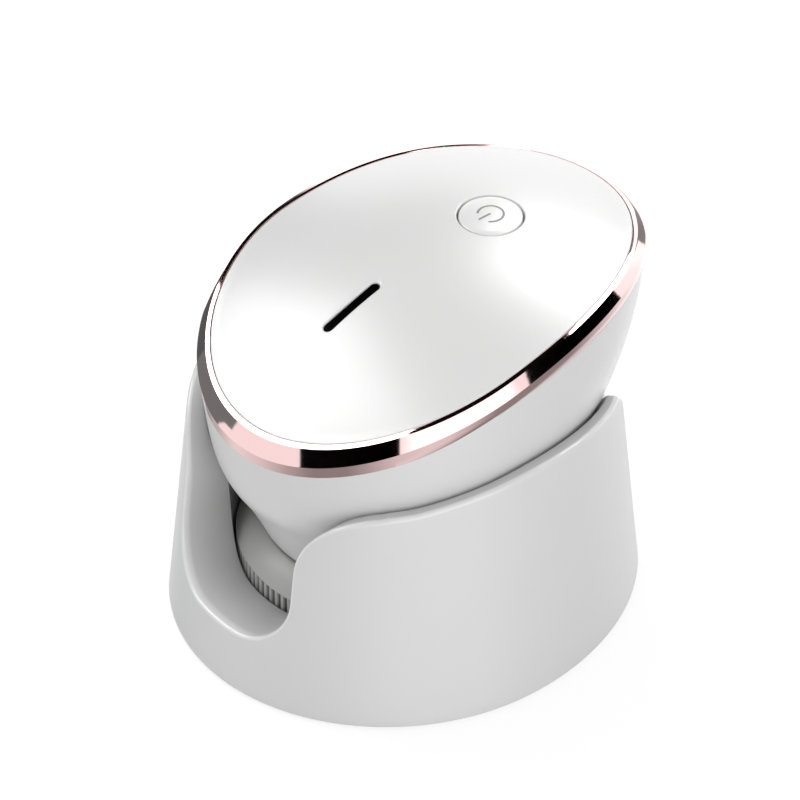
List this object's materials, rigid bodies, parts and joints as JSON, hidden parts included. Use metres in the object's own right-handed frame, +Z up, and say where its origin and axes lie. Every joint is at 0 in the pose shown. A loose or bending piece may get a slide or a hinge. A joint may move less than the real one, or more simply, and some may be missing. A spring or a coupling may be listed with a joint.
{
  "type": "facial cleansing massager",
  "caption": "Egg-shaped handheld facial brush with a spinning bristle head, a chrome band and a power button, standing head down in a cup-shaped holder with a cut-out.",
  "frame": {"origin": "on the floor, under the middle of the whole object's box", "axes": "+Z up, along the brush head's spindle; -Y towards the front, where the holder's cut-out is; +X to the right seen from the front"},
  "size_m": [0.0798, 0.0911, 0.0734],
  "materials": {
    "stand_white": "satin, warm white",
    "body_white": "satin, warm white",
    "cover_white": "gloss, slightly pearly",
    "rose_chrome": "bright rose chrome",
    "window_black": "gloss black",
    "seam_brown": "matte dark brown",
    "soft_grey": "matte silicone",
    "plug_white": "matte silicone",
    "head_white": "satin",
    "bristle_white": "fine nylon",
    "gear_ivory": "satin acetal",
    "plain_steel": "brushed",
    "bush_bronze": "sintered bronze",
    "pinion_brass": "machined",
    "board_green": "solder mask",
    "part_black": "moulded, matte",
    "lens_clear": "clear moulded",
    "cell_blue": "shrink sleeve",
    "foam_grey": "foam"
  },
  "bodies": {
    "stand": {"stand_shell": "stand_white", "base_plate": "stand_white", "foot_ring": "soft_grey", "base_screws": "plain_steel"},
    "handheld": {"lower_housing": "body_white", "neck_trim": "seam_brown", "bezel_ring": "rose_chrome", "top_cover": "cover_white", "cover_gasket": "soft_grey", "light_window": "window_black", "button_seal": "soft_grey", "circuit_board": "board_green", "tact_switch": "part_black", "status_led": "lens_clear", "pcb_screws": "plain_steel", "battery_cell": "cell_blue", "battery_pad": "foam_grey", "charge_socket": "plain_steel", "port_plug": "plug_white", "gearbox_plate": "plain_steel", "gearbox_screws": "plain_steel", "motor_can": "plain_steel", "motor_endcap": "part_black", "motor_screws": "plain_steel", "idler_pin": "plain_steel", "upper_bush": "bush_bronze", "lower_bush": "bush_bronze", "shaft_seal": "soft_grey"},
    "power_button": {"power_button": "cover_white"},
    "brush_head": {"drive_spindle": "plain_steel", "spindle_gear": "gear_ivory", "spindle_clip": "plain_steel", "brush_carrier": "head_white", "tuft_plate": "head_white", "bristles": "bristle_white"},
    "idler": {"idler_gear": "gear_ivory"},
    "rotor": {"motor_shaft": "plain_steel", "motor_pinion": "pinion_brass"}
  },
  "joints": [
    {"name": "lift_out", "type": "slide", "parent": "stand", "child": "handheld", "axis": [0, 0, 1], "range_m": [0, 0.06]},
    {"name": "button_press", "type": "slide", "parent": "handheld", "child": "power_button", "axis": [0, 0, -1], "range_m": [0, 0.0005], "stiffness_N_per_m": 800, "springref_m": -0.0005},
    {"name": "brush_spin", "type": "hinge", "parent": "handheld", "child": "brush_head", "pos_m": [0, -0.0057, 0.0191], "axis": [0, 0, 1], "continuous": true},
    {"name": "idler_spin", "type": "hinge", "parent": "handheld", "child": "idler", "pos_m": [-0.0075, 0.00729, 0.0258], "axis": [0, 0, 1], "continuous": true},
    {"name": "motor_spin", "type": "hinge", "parent": "handheld", "child": "rotor", "pos_m": [0.00432, 0.00937, 0.0289], "axis": [0, 0, 1], "continuous": true}
  ],
  "couplings": [
    {"joint": "idler_spin", "follows": "brush_spin", "ratio": -4},
    {"joint": "motor_spin", "follows": "brush_spin", "ratio": 12}
  ]
}
